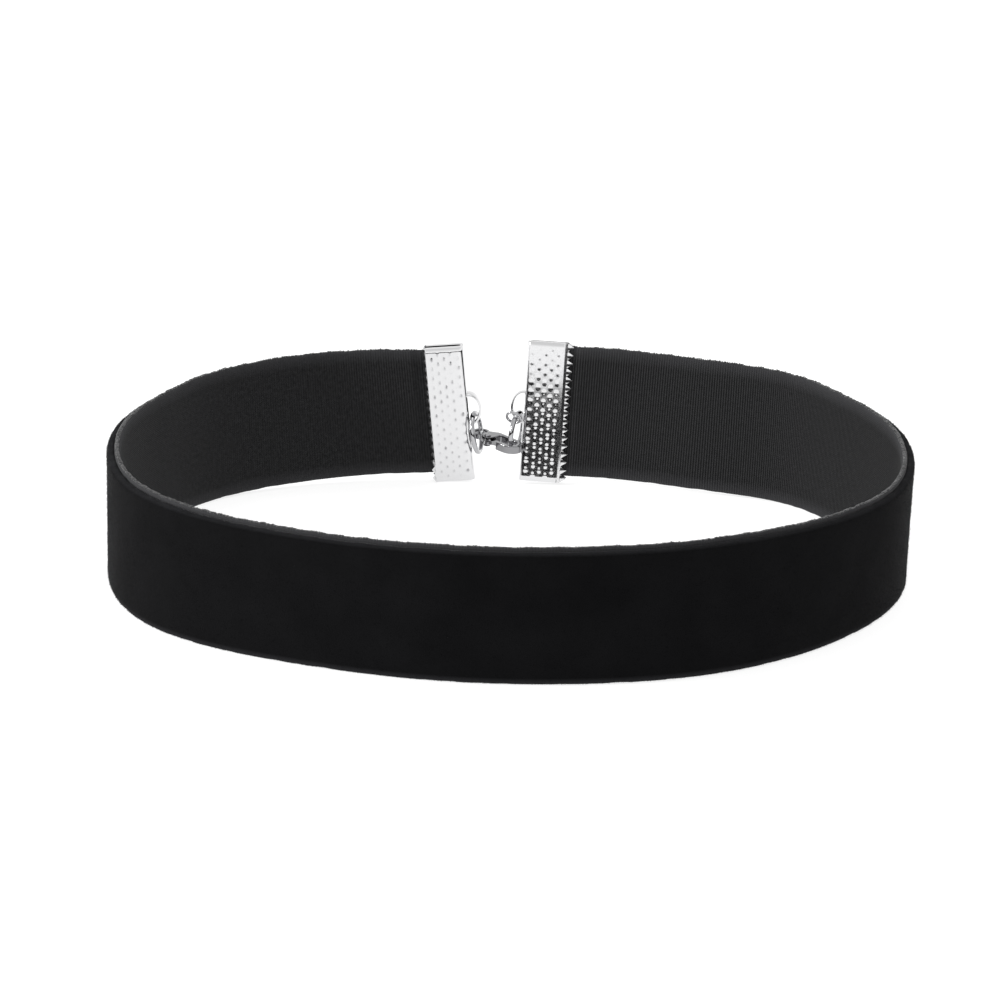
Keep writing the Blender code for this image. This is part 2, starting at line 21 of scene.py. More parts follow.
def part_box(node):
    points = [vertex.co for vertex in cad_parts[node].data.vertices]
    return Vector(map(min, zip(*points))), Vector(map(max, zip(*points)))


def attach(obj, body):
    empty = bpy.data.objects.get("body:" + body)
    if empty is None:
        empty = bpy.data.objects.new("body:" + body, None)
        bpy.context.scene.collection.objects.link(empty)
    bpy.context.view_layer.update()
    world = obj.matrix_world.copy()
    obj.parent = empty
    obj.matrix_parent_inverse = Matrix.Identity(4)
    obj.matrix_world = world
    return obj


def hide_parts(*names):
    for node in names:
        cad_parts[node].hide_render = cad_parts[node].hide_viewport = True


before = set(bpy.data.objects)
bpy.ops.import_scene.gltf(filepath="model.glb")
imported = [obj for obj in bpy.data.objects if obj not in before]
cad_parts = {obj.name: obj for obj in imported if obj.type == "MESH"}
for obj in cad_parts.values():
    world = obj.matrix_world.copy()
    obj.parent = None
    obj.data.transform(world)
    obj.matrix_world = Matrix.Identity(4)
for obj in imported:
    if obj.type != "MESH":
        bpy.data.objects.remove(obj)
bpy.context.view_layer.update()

MM = 0.001
print("nodes:", ", ".join(sorted(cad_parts)))

# %% [markdown]
# ## Colours and nodes
#
# Colours are picked on a screen, so they are written as sRGB hex values. Blender works in linear
# light, so one function turns a hex value to linear. A second small function adds any shader node:
# it sets the node's own settings, then fills each socket with a value or a link. Four more do the
# same for sums, ranges, blends and colour ramps. The last one puts an object in the scene.

# %% Helpers for colours, shader nodes and objects
def linear(hex_colour):
    """Linear red, green, blue and alpha of an sRGB hex colour."""
    channels = [int(hex_colour[i:i + 2], 16) / 255 for i in (1, 3, 5)]
    light = [c / 12.92 if c <= 0.04045 else ((c + 0.055) / 1.055) ** 2.4 for c in channels]
    return (*light, 1.0)


def add_node(material, kind, settings=None, sockets=None):
    """Adds a node, sets its settings, and gives each socket a value or a link."""
    node = material.node_tree.nodes.new(kind)
    for name, value in (settings or {}).items():
        setattr(node, name, value)
    for name, value in (sockets or {}).items():
        if isinstance(value, bpy.types.NodeSocket):
            material.node_tree.links.new(value, node.inputs[name])
        else:
            node.inputs[name].default_value = value
    return node


def new_material(name, sockets):
    """Material whose surface is one Principled shader, and that shader."""
    material = bpy.data.materials.new(name)
    material.use_nodes = True
    shader = material.node_tree.nodes["Principled BSDF"]
    for socket, value in sockets.items():
        shader.inputs[socket].default_value = value
    return material, shader


def feed(material, shader, socket, output):
    material.node_tree.links.new(output, shader.inputs[socket])


def maths(material, operation, *values):
    """Output of a Math node on values or links."""
    sockets = dict(enumerate(values))
    return add_node(material, "ShaderNodeMath", {"operation": operation}, sockets).outputs[0]


def map_range(material, value, source, target):
    """Output that carries a value from one range to another, each a low and a high end."""
    return add_node(material, "ShaderNodeMapRange", None, {
        "Value": value, "From Min": source[0], "From Max": source[1],
        "To Min": target[0], "To Max": target[1],
    }).outputs["Result"]


def blend(material, factor, first, second):
    """Output of a mix of two colours."""
    sockets = {"Factor": factor, "A": first, "B": second}
    return add_node(material, "ShaderNodeMix", {"data_type": "RGBA"}, sockets).outputs["Result"]


def ramp(material, value, *stops):
    """Output of a colour ramp with two stops, each a position and a hex colour."""
    node = add_node(material, "ShaderNodeValToRGB", None, {"Fac": value})
    for element, (position, colour) in zip(node.color_ramp.elements, stops):
        element.position = position
        element.color = linear(colour)
    return node.outputs["Color"]


def put_in_scene(name, data):
    """New object on some data, in the scene's collection."""
    thing = bpy.data.objects.new(name, data)
    bpy.context.scene.collection.objects.link(thing)
    return thing


print("mid grey #808080 is", round(linear("#808080")[0], 3), "in linear light")

# %% [markdown]
# ## The camera
#
# The photograph was taken with a long lens from about 15 degrees above the table. The ribbon is
# 15 mm wide and is drawn about 139 pixels high at the front and 129 at the back. Taken with the
# ribbon's lean, that difference fits a distance of about 0.7 m. The distance and the scale give
# the lens. A long lens keeps the front and the back of the loop nearly the same size.

# %% Camera at the photograph's angle
CAMERA_ELEVATION = math.radians(15.0)
CAMERA_DISTANCE = 700 * MM
CAMERA_TARGET = Vector((-0.94, 4.20, 7.5)) * MM
PIXELS_PER_MM = 9.10
FRAME_PIXELS = 1000
SENSOR_WIDTH = 36.0

camera_data = bpy.data.cameras.new("camera")
camera_data.sensor_width = SENSOR_WIDTH
camera_data.lens = SENSOR_WIDTH * PIXELS_PER_MM * (CAMERA_DISTANCE / MM) / FRAME_PIXELS
camera = put_in_scene("camera", camera_data)
back = Vector((0.0, -math.cos(CAMERA_ELEVATION), math.sin(CAMERA_ELEVATION)))
camera.location = CAMERA_TARGET + back * CAMERA_DISTANCE
camera.rotation_euler = (math.pi / 2 - CAMERA_ELEVATION, 0.0, 0.0)
bpy.context.scene.camera = camera
print("lens in mm:", round(camera_data.lens, 1))

# %% [markdown]
# ## The run of the ribbon
#
# A ribbon keeps its width and bends only across its thickness, so its whole form is told by a
# line in plan and by how far it leans. The model's source holds that line as fifteen rows of
# angle, radius and lean, with a smooth curve through them. The same rows are used here, and the
# last cell of this step measures how far the result is from the model's ribbon.
#
# Both ends rise a little and fan apart, because the stiff metal ends hold them off the table.

# %% The ribbon's plan
RIBBON_WIDTH = 15.0 * MM
RIBBON_THICKNESS = 1.5 * MM
PINCHED_THICKNESS = 1.0 * MM
PINCH_RUN = 1.0 * MM
LOOP_RADIUS = 43.3 * MM
LOOP_CENTRE = (-0.34 * MM, -0.206 * MM)
END_BLEND_ANGLE = 42.0
END_LIFT = 1.05 * MM
LEFT_FAN_ANGLE = 4.5
RIGHT_FAN_ANGLE = 3.0
CRIMP_MOUTH = 5.3 * MM
TUCKED_LENGTH = 4.64 * MM
DIRECTION_STEP = 0.25
PLAN_SAMPLES = 2881
CHECK_SAMPLES = 4001

# Angle from the front in degrees, radius as a share of LOOP_RADIUS, lean in degrees
PLAN_ROWS = np.array((
    (-166.9, 0.960, -5.0),
    (-150.0, 1.043, 0.6),
    (-135.0, 1.080, 0.3),
    (-120.0, 1.046, -2.2),
    (-90.0, 0.989, -0.3),
    (-60.0, 0.980, 2.6),
    (-30.0, 0.939, 6.3),
    (0.0, 0.961, 5.8),
    (30.0, 1.010, 5.9),
    (60.0, 1.016, 9.4),
    (90.0, 1.003, 2.1),
    (120.0, 1.017, 2.1),
    (135.0, 1.046, 5.4),
    (150.0, 0.989, 8.5),
    (169.7, 0.955, 8.4),
))
PLAN_ANGLES = PLAN_ROWS[:, 0]


def plan_values(angles, column):
    """Smooth values of one column of the plan at many angles, through every row."""
    values = PLAN_ROWS[:, column]
    low = np.maximum(np.arange(len(values)) - 1, 0)
    high = np.minimum(np.arange(len(values)) + 1, len(values) - 1)
    slopes = (values[high] - values[low]) / (PLAN_ANGLES[high] - PLAN_ANGLES[low])
    row = np.clip(np.searchsorted(PLAN_ANGLES, angles) - 1, 0, len(values) - 2)
    gap = PLAN_ANGLES[row + 1] - PLAN_ANGLES[row]
    t = (angles - PLAN_ANGLES[row]) / gap
    curve = (2 * t ** 3 - 3 * t ** 2 + 1) * values[row]
    curve += (3 * t ** 2 - 2 * t ** 3) * values[row + 1]
    curve += (t ** 3 - 2 * t ** 2 + t) * gap * slopes[row]
    curve += (t ** 3 - t ** 2) * gap * slopes[row + 1]
    return curve


def plan_points(angles):
    """Middle of the ribbon in plan at many angles."""
    radius = LOOP_RADIUS * plan_values(angles, 1)
    turn = np.radians(angles)
    x = LOOP_CENTRE[0] + radius * np.sin(turn)
    y = LOOP_CENTRE[1] - radius * np.cos(turn)
    return np.stack([x, y, np.zeros_like(x)], axis=1)


def smooth_step(t):
    t = np.clip(t, 0.0, 1.0)
    return t * t * (3 - 2 * t)


def unit(vectors):
    return vectors / np.linalg.norm(vectors, axis=1, keepdims=True)


def ribbon_frames(angles):
    """Directions along the ribbon, outward and up its width, and its middle, at many angles."""
    before = plan_points(np.maximum(angles - DIRECTION_STEP, PLAN_ANGLES[0]))
    after = plan_points(np.minimum(angles + DIRECTION_STEP, PLAN_ANGLES[-1]))
    along = unit(after - before)
    outward = np.stack([along[:, 1], -along[:, 0], np.zeros(len(along))], axis=1)
    left_end = smooth_step((PLAN_ANGLES[0] + END_BLEND_ANGLE - angles) / END_BLEND_ANGLE)
    right_end = smooth_step((angles - PLAN_ANGLES[-1] + END_BLEND_ANGLE) / END_BLEND_ANGLE)
    fan = np.radians(LEFT_FAN_ANGLE * left_end - RIGHT_FAN_ANGLE * right_end)[:, None]
    lean = np.radians(plan_values(angles, 2))[:, None]
    up = np.array((0.0, 0.0, 1.0)) * np.cos(lean) + outward * np.sin(lean)
    up = up * np.cos(fan) + along * np.sin(fan)
    middle = plan_points(angles)
    middle[:, 2] = END_LIFT * (left_end + right_end) + RIBBON_WIDTH / 2 * up[:, 2]
    return along, outward, up, middle


plan_samples = np.linspace(PLAN_ANGLES[0], PLAN_ANGLES[-1], PLAN_SAMPLES)
plan_steps = np.linalg.norm(np.diff(plan_points(plan_samples), axis=0), axis=1)
plan_distance = np.concatenate([[0.0], np.cumsum(plan_steps)])
FREE_LENGTH = plan_distance[-1]
CUT_LENGTH = FREE_LENGTH + 2 * TUCKED_LENGTH
print("ribbon in mm: free", round(FREE_LENGTH / MM, 1), "cut", round(CUT_LENGTH / MM, 1))

# %% [markdown]
# ## From a flat strip to the standing loop
#
# Every layer of the ribbon is described on the flat strip first: how far along, how far up the
# width and how far out of the middle of the thickness. One function carries such flat places to
# the standing loop. That is how a ribbon is really made, flat and then bent, and it keeps each
# thread pitch true to size wherever the ribbon turns.

# %% Carry flat places to the loop, and a general loft
def bend(distances):
    """Frames of the ribbon at distances from the left mouth, and its share of full thickness."""
    free = np.clip(distances, 0.0, FREE_LENGTH)
    along, outward, up, middle = ribbon_frames(np.interp(free, plan_distance, plan_samples))
    middle = middle + along * (distances - free)[:, None]
    from_mouth = np.minimum(distances, FREE_LENGTH - distances)
    pinched = PINCHED_THICKNESS / RIBBON_THICKNESS
    share = pinched + (1 - pinched) * smooth_step(from_mouth / PINCH_RUN)
    return outward, up, middle, share


def on_ribbon(distances, across, out):
    """Points of the loop. across and out hold a row of places for each distance."""
    outward, up, middle, share = bend(distances)
    return (middle[:, None] + up[:, None] * across[..., None]
            + outward[:, None] * (out * share[:, None])[..., None])


def skin_tube(shape, rings):
    """Faces along a run of rings of vertices, and over both ends."""
    for ring, after in zip(rings, rings[1:]):
        for k in range(len(ring)):
            j = (k + 1) % len(ring)
            shape.faces.new((ring[k], ring[j], after[j], after[k]))
    shape.faces.new(rings[0])
    shape.faces.new(rings[-1])


def loft(name, rows):
    """Closed mesh through rows of points, each row a closed section."""
    shape = bmesh.new()
    skin_tube(shape, [[shape.verts.new(point) for point in row] for row in rows])
    bmesh.ops.recalc_face_normals(shape, faces=shape.faces)
    return mesh_piece(name, shape)


def mesh_piece(name, shape):
    """Object in the scene from a bmesh, shaded smooth."""
    mesh = bpy.data.meshes.new(name)
    shape.to_mesh(mesh)
    shape.free()
    mesh.shade_smooth()
    return put_in_scene(name, mesh)


def dress(piece, material, body="choker"):
    """Gives a piece its one material and the body that carries it."""
    piece.data.materials.clear()
    piece.data.materials.append(material)
    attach(piece, body)
    return piece


def keep_flat_places(piece, distances, across):
    """Stores each point's place on the flat strip in mm, for the weave to be drawn on."""
    places = np.zeros((*across.shape, 3), np.float32)
    places[..., 0] = distances[:, None] / MM
    places[..., 1] = across / MM
    layer = piece.data.attributes.new("strip_mm", "FLOAT_VECTOR", "POINT")
    layer.data.foreach_set("vector", places.ravel())


model_points = np.array([v.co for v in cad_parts["ribbon"].data.vertices])
checked = np.linspace(-TUCKED_LENGTH, FREE_LENGTH + TUCKED_LENGTH, CHECK_SAMPLES)
half_width = np.full((len(checked), 1), RIBBON_WIDTH / 2)
half_thick = np.full((len(checked), 1), RIBBON_THICKNESS / 2)
corners = [on_ribbon(checked, half_width * side, half_thick * face)[:, 0]
           for side in (-1, 1) for face in (-1, 1)]
corners = np.concatenate(corners)
misses = [np.linalg.norm(corners - point, axis=1).min() for point in model_points]
print("furthest corner of the model's ribbon from this one, in mm:", round(max(misses) / MM, 3))

# %% [markdown]
# ## The woven ground
#
# Under the pile is a plain woven strip about 0.55 mm thick. Its back shows inside the loop, with
# fine ribs across the width where the weft threads lie, about 0.3 mm apart. Measured across the
# photograph, they repeat every 2.2 to 2.6 pixels.
#
# A bump map could draw them, but then the edge of the ribbon would stay perfectly straight and the
# saved mesh would be smooth. So the ribs are real here: four rows of points for each rib, raised
# by a few hundredths of a millimetre. The section is a thin strip with rounded edges, and its
# edges wander by a little under a tenth of a millimetre, as woven edges do.

# %% Build the woven ground
RIB_PITCH = 0.3 * MM
RIB_HEIGHT = 0.06 * MM
RIB_PROFILE = np.array((0.0, 0.75, 1.0, 0.75))
GROUND_BACK = -0.72 * MM
GROUND_FACE = -0.17 * MM
EDGE_WANDER = 0.07 * MM
EDGE_WAVES = ((17.0 * MM, 0.6), (6.3 * MM, 2.1), (2.9 * MM, 4.0))


def edge_wander(distances, side):
    """How far a woven edge strays. side is 1 for the upper and 0 for the lower, which only rises."""
    stray = sum(np.sin(2 * math.pi * distances / length + phase + side)
                for length, phase in EDGE_WAVES)
    stray = EDGE_WANDER * stray / len(EDGE_WAVES)
    return stray if side else np.maximum(stray, 0.0)


def stray_section(distances, section_across):
    """Places across the strip of a section at many distances, with its edges astray."""
    upper = section_across > 0
    across = np.tile(section_across, (len(distances), 1))
    across[:, upper] += edge_wander(distances, 1.0)[:, None]
    across[:, ~upper] += edge_wander(distances, 0.0)[:, None]
    return across


def ground_section():
    """Places across the strip and out of it, round the ground's section, and where it is back."""
    edge = RIBBON_WIDTH / 2
    middle, radius = (GROUND_BACK + GROUND_FACE) / 2, (GROUND_FACE - GROUND_BACK) / 2
    flat = np.linspace(-1.0, 1.0, 7) * (edge - radius)
    turns = np.radians(np.linspace(-60, 60, 4))
    across = np.concatenate([flat, edge - radius + radius * np.cos(turns),
                             flat[::-1], radius - edge - radius * np.cos(turns)])
    out = np.concatenate([np.full(len(flat), GROUND_BACK), middle + radius * np.sin(turns),
                          np.full(len(flat), GROUND_FACE), middle - radius * np.sin(turns)])
    on_back = np.concatenate([np.ones(len(flat)), np.full(len(turns), 0.5),
                              np.zeros(len(flat)), np.full(len(turns), 0.5)])
    return across, out, on_back


def build_ground():
    ribs = round(CUT_LENGTH / RIB_PITCH)
    steps = ribs * len(RIB_PROFILE)
    distances = np.linspace(-TUCKED_LENGTH, FREE_LENGTH + TUCKED_LENGTH, steps + 1)
    rib = RIB_PROFILE[np.arange(steps + 1) % len(RIB_PROFILE)]
    section_across, section_out, on_back = ground_section()
    across = stray_section(distances, section_across)
    out = section_out - RIB_HEIGHT * rib[:, None] * on_back
    ground = loft("woven_ground", on_ribbon(distances, across, out))
    keep_flat_places(ground, distances, across)
    return ground, ribs


woven_ground, rib_count = build_ground()
print("ribs:", rib_count, "faces:", len(woven_ground.data.polygons))

# %% [markdown]
# ## The cut pile
#
# Velvet is woven with a second set of warp threads that stand up from the ground and are cut to a
# height of about a millimetre. From a distance the pile is a soft body with round shoulders that
# stops 0.45 mm short of the upper woven edge, so a narrow lighter line of ground shows
# along the top. At the lower edge it reaches nearly to the end.
#
# Hair particles would draw it well but leave nothing in the saved mesh. So the pile is built in
# two parts: a closed body for its mass, and many thin tapering tufts that stand out of it. The
# tufts break up the outline, which is what makes velvet look soft at its edges.

# %% Build the body of the pile
PILE_FOOT = -0.22 * MM
PILE_TOP = 0.66 * MM
PILE_HIGH = RIBBON_WIDTH / 2 - 0.45 * MM
PILE_LOW = -RIBBON_WIDTH / 2 + 0.05 * MM
HIGH_SHOULDER = 0.42 * MM
LOW_SHOULDER = 0.38 * MM
PILE_STEP = 0.35 * MM
PILE_UNEVEN = 0.004 * MM


def pile_section():
    """Places across and out, round the pile's section, starting up its outer face."""
    flat = np.linspace(PILE_LOW + LOW_SHOULDER, PILE_HIGH - HIGH_SHOULDER, 19)
    turns = np.radians(np.linspace(15, 90, 6))
    high = PILE_HIGH - HIGH_SHOULDER * (1 - np.sin(turns))
    low = PILE_LOW + LOW_SHOULDER * (1 - np.sin(turns))
    high_out = PILE_TOP - HIGH_SHOULDER * (1 - np.cos(turns))
    low_out = PILE_TOP - LOW_SHOULDER * (1 - np.cos(turns))
    across = np.concatenate([flat, high, [PILE_HIGH, PILE_LOW], low[::-1]])
    out = np.concatenate([np.full(len(flat), PILE_TOP), high_out,
                          [PILE_FOOT, PILE_FOOT], low_out[::-1]])
    return across, out


def build_pile():
    count = round(CUT_LENGTH / PILE_STEP)
    distances = np.linspace(-TUCKED_LENGTH, FREE_LENGTH + TUCKED_LENGTH, count)
    section_across, section_out = pile_section()
    chance = np.random.default_rng(11)
    across = stray_section(distances, section_across)
    out = section_out + chance.normal(0.0, PILE_UNEVEN, (count, len(section_out)))
    out[:, section_out == PILE_FOOT] = PILE_FOOT
    pile = loft("velvet_pile", on_ribbon(distances, across, out))
    keep_flat_places(pile, distances, across)
    return pile


velvet_pile = build_pile()
print("pile stands", round((PILE_TOP - GROUND_FACE) / MM, 2), "mm above the ground")

# %% [markdown]
# ## Tufts
#
# A real tuft is a bundle of filaments a few hundredths of a millimetre thick, too fine and too
# many to show. These are a little coarser, about 0.06 mm at the foot. Each is a pyramid with three
# sides, its foot sunk in the pile, leaning at random and slightly downward, the way the nap lies.
# They crowd on the two shoulders, where the outline of the ribbon is seen.

# %% Stand tufts on the pile
TUFT_COUNT = 46000
TUFT_LENGTH = 0.3 * MM
TUFT_WIDTH = 0.06 * MM
TUFT_SINK = 0.14 * MM
TUFT_LEAN = 0.33
NAP_LEAN = -0.12
TIP_LOWEST = 0.02 * MM
FOOT_LOWEST = 0.005 * MM
SHOULDER_SHARE = 0.34


def build_tufts():
    chance = np.random.default_rng(23)
    distance = chance.uniform(0.0, FREE_LENGTH, TUFT_COUNT)
    shoulder = chance.random(TUFT_COUNT) < SHOULDER_SHARE
    side = np.where(chance.random(TUFT_COUNT) < 0.5, -1.0, 1.0)
    edge = np.where(side > 0, PILE_HIGH, PILE_LOW)
    radius = np.where(side > 0, HIGH_SHOULDER, LOW_SHOULDER)
    turn = np.where(shoulder, chance.uniform(0.0, math.pi / 2, TUFT_COUNT), 0.0)
    flat = chance.uniform(PILE_LOW + LOW_SHOULDER, PILE_HIGH - HIGH_SHOULDER, TUFT_COUNT)
    across = np.where(shoulder, edge - side * radius * (1 - np.sin(turn)), flat)
    out = PILE_TOP - radius * (1 - np.cos(turn))
    outward, up, middle, share = bend(distance)
    along = np.cross(up, outward)
    stray = np.where(across > 0, edge_wander(distance, 1.0), edge_wander(distance, 0.0))
    foot = middle + up * (across + stray)[:, None] + outward * (out * share)[:, None]
    normal = outward * np.cos(turn)[:, None] + up * (side * np.sin(turn))[:, None]
    lean = chance.normal(0.0, TUFT_LEAN, (TUFT_COUNT, 2))
    lean[:, 1] += NAP_LEAN * np.cos(turn)
    direction = unit(normal + along * lean[:, :1] + up * lean[:, 1:])
    length = TUFT_LENGTH * chance.uniform(0.6, 1.15, TUFT_COUNT)
    foot = foot - direction * TUFT_SINK
    tip = foot + direction * length[:, None]
    tip[:, 2] = np.maximum(tip[:, 2], TIP_LOWEST)
    across_tuft = unit(np.cross(direction, along + up))
    beside_tuft = np.cross(direction, across_tuft)
    spin = chance.uniform(0.0, 2 * math.pi, TUFT_COUNT)
    corners = []
    for k in range(3):
        angle = (spin + 2 * math.pi * k / 3)[:, None]
        offset = across_tuft * np.cos(angle) + beside_tuft * np.sin(angle)
        corners.append(foot + offset * (TUFT_WIDTH / 2))
    points = np.stack([*corners, tip], axis=1).reshape(-1, 3)
    points[:, 2] = np.maximum(points[:, 2], FOOT_LOWEST)
    first = np.arange(TUFT_COUNT)[:, None] * 4
    sides = np.array(((0, 1, 3), (1, 2, 3), (2, 0, 3), (2, 1, 0)))
    faces = (first[:, :, None] + sides[None]).reshape(-1, 3)
    mesh = bpy.data.meshes.new("pile_tufts")
    mesh.from_pydata(points, [], faces)
    mesh.shade_smooth()
    tufts = put_in_scene("pile_tufts", mesh)
    keep_flat_places(tufts, distance, np.repeat(across[:, None], 4, axis=1))
    return tufts


pile_tufts = build_tufts()
print("tufts to a square mm:", round(TUFT_COUNT / (FREE_LENGTH * RIBBON_WIDTH) * MM ** 2, 1))

# %% [markdown]
# ## Loops along the woven edge
#
# Where a weft thread turns back at the edge it leaves a tiny loop. Along the top of the ribbon
# these catch the light as a row of pale specks, and their thread colour carries a painted glint:
# it runs up to mid grey, far lighter than the black cloth. Each loop is half a ring of thread,
# 0.11 mm thick, one for each rib, and a few stand prouder than the rest.

# %% Turn the weft at both edges
THREAD = 0.11 * MM
LOOP_SPAN = 0.2 * MM
LOOP_STAND = 0.1 * MM
LOW_STAND = 0.3
LOOP_SINK = 0.06 * MM
LOOP_SIDES = 5
LOOP_STEPS = 6


def build_edge_loops():
    chance = np.random.default_rng(5)
    count = round(FREE_LENGTH / RIB_PITCH)
    centre = (GROUND_BACK + GROUND_FACE) / 2
    turns = np.linspace(0.0, math.pi, LOOP_STEPS)
    shape = bmesh.new()
    for side in (-1.0, 1.0):
        distance = (np.arange(count) + 0.5) * RIB_PITCH
        stray = edge_wander(distance, max(side, 0.0))
        stand = LOOP_STAND * chance.uniform(0.4, 1.5, count) * (LOW_STAND if side < 0 else 1.0)
        outward, up, middle, share = bend(distance)
        along = np.cross(up, outward)
        for i in range(count):
            root = middle[i] + up[i] * (side * RIBBON_WIDTH / 2 + stray[i] - side * LOOP_SINK)
            root = root + outward[i] * (centre * share[i])
            twist = chance.normal(0.0, 0.5)
            span = outward[i] * math.cos(twist) + along[i] * math.sin(twist)
            rings = []
            for turn in turns:
                ease = math.cos(turn) * LOOP_SPAN
                middle_point = root + span * ease + up[i] * (side * stand[i] * math.sin(turn))
                away = unit((span * ease + up[i] * side * stand[i] * math.sin(turn))[None])[0]
                other = np.cross(span, up[i])
                ring = []
                for k in range(LOOP_SIDES):
                    angle = 2 * math.pi * k / LOOP_SIDES
                    offset = away * math.cos(angle) + other * math.sin(angle)
                    ring.append(shape.verts.new(middle_point + offset * THREAD / 2))
                rings.append(ring)
            skin_tube(shape, rings)
    for vert in shape.verts:
        vert.co.z = max(vert.co.z, 0.0)
    bmesh.ops.recalc_face_normals(shape, faces=shape.faces)
    return mesh_piece("edge_loops", shape)


edge_loops = build_edge_loops()
print("edge loops:", 2 * round(FREE_LENGTH / RIB_PITCH))

# %% [markdown]
# ## What black cloth is made of
#
# Velvet pile is dyed nylon or rayon, cut square. Light that enters between the tufts hardly comes
# back, so its face is nearly black. Seen along the surface, the sides of the tufts glow faintly:
# that is sheen, and it draws a paler rim where the ribbon turns away. Its specular level is low,
# because an open brush of fibres has no skin to reflect. Near both edges the colour is painted a
# little lighter: a painted sheen that stands in for the light the rounded shoulders catch.
#
# The back is polyester thread, black too but lying flat, so it looks dark grey and shows its
# threads. Each pattern is drawn on the flat strip's own millimetres: ribs at 0.3 mm, warp threads
# at 0.22 mm, and a plain band 1.6 mm wide along each edge where the weave is closer. The ribs
# carry painted shade, darker grooves and lighter crests. The photograph shows the ribs more
# strongly on the right, where the light from the left grazes the back, so this painted shade grows
# along the strip.

# %% Cloth materials
SHEEN_ROUGHNESS = 0.15
# Painted sheen: the cloth turns towards this lighter grey from this many mm off the middle out to
# both edges, standing in for the light the rounded shoulders catch.
PAINTED_SHEEN_FROM = 6.7
PAINTED_SHEEN_COLOUR = "#2b2b2d"


def strip_places(material):
    """Place on the flat strip in mm, as an output that patterns can read."""
    return add_node(material, "ShaderNodeAttribute", {"attribute_name": "strip_mm"}).outputs["Vector"]


def paint_edge_sheen(material, places, colour):
    """Colour painted lighter near both edges: painted sheen for light caught on the shoulders."""
    across = add_node(material, "ShaderNodeSeparateXYZ", None, {"Vector": places}).outputs["Y"]
    edge_sheen_share = map_range(material, maths(material, "ABSOLUTE", across),
                     (PAINTED_SHEEN_FROM, RIBBON_WIDTH / MM / 2), (0.0, 1.0))
    return blend(material, edge_sheen_share, colour, linear(PAINTED_SHEEN_COLOUR))


def make_velvet():
    material, shader = new_material("cut_pile_nylon", {
        "Roughness": 0.95, "IOR": 1.53, "Specular IOR Level": 0.04,
        "Sheen Weight": 0.055, "Sheen Roughness": SHEEN_ROUGHNESS,
        "Sheen Tint": linear("#d8d8da"),
    })
    places = strip_places(material)
    crush = add_node(material, "ShaderNodeTexNoise", None,
                     {"Vector": places, "Scale": 0.16, "Detail": 3.0, "Roughness": 0.55})
    shade = ramp(material, crush.outputs["Fac"], (0.3, "#0b0b0c"), (0.75, "#101011"))
    # Painted sheen: lighter towards both edges.
    feed(material, shader, "Base Color", paint_edge_sheen(material, places, shade))
    tufts = add_node(material, "ShaderNodeTexVoronoi", None, {"Vector": places, "Scale": 7.0})
    bump = add_node(material, "ShaderNodeBump", None,
                    {"Strength": 0.5, "Distance": 0.05 * MM, "Height": tufts.outputs["Distance"]})
    feed(material, shader, "Normal", bump.outputs["Normal"])
    return material


def make_tuft_fibre():
    material, shader = new_material("cut_pile_nylon_tufts", {
        "Roughness": 0.8, "IOR": 1.53,
        "Specular IOR Level": 0.04, "Sheen Weight": 0.03, "Sheen Roughness": SHEEN_ROUGHNESS,
    })
    noise = add_node(material, "ShaderNodeTexNoise", None, {"Scale": 900.0, "Detail": 2.0})
    tone = ramp(material, noise.outputs["Fac"], (0.0, "#0a0a0b"), (1.0, "#131314"))
    # Painted sheen: the tufts too turn lighter towards both edges.
    colour = paint_edge_sheen(material, strip_places(material), tone)
    feed(material, shader, "Base Color", colour)
    return material


WARP_PITCH = 0.22
WARP_CONTRAST = 0.12
CLOSE_BAND = 1.6


def make_woven_back():
    material, shader = new_material("woven_polyester_back", {
        "Roughness": 0.75, "IOR": 1.57, "Specular IOR Level": 0.12,
        "Sheen Weight": 0.03, "Sheen Roughness": 0.4,
    })
    places = strip_places(material)
    apart = add_node(material, "ShaderNodeSeparateXYZ", None, {"Vector": places})
    turns = 2 * math.pi / (RIB_PITCH / MM)
    rib = maths(material, "SINE", maths(material, "MULTIPLY", apart.outputs["X"], turns))
    turns = 2 * math.pi / WARP_PITCH
    warp = maths(material, "SINE", maths(material, "MULTIPLY", apart.outputs["Y"], turns))
    woven = maths(material, "MULTIPLY", rib, warp)
    uneven = add_node(material, "ShaderNodeTexNoise", None,
                      {"Vector": places, "Scale": 2.2, "Detail": 4.0, "Roughness": 0.7})
    length = CUT_LENGTH / MM
    # Painted shade on the ribs: grooves darker and crests lighter, growing stronger towards the right
    # end, where the light from the left grazes the back.
    painted_rib_shade = map_range(material, apart.outputs["X"], (length * 0.4, length * 0.85), (0.12, 0.42))
    light = maths(material, "MULTIPLY_ADD", rib, painted_rib_shade, uneven.outputs["Fac"])
    light = maths(material, "MULTIPLY_ADD", woven, WARP_CONTRAST, light)
    tone = ramp(material, light, (0.25, "#0b0b0c"), (0.85, "#29292a"))
    edge = RIBBON_WIDTH / MM / 2
    band = map_range(material, maths(material, "ABSOLUTE", apart.outputs["Y"]),
                     (edge - CLOSE_BAND, edge - 0.2), (0.0, 0.6))
    feed(material, shader, "Base Color", blend(material, band, tone, linear("#38383a")))
    bump = add_node(material, "ShaderNodeBump", None,
                    {"Strength": 0.6, "Distance": 0.03 * MM, "Height": woven})
    feed(material, shader, "Normal", bump.outputs["Normal"])
    return material


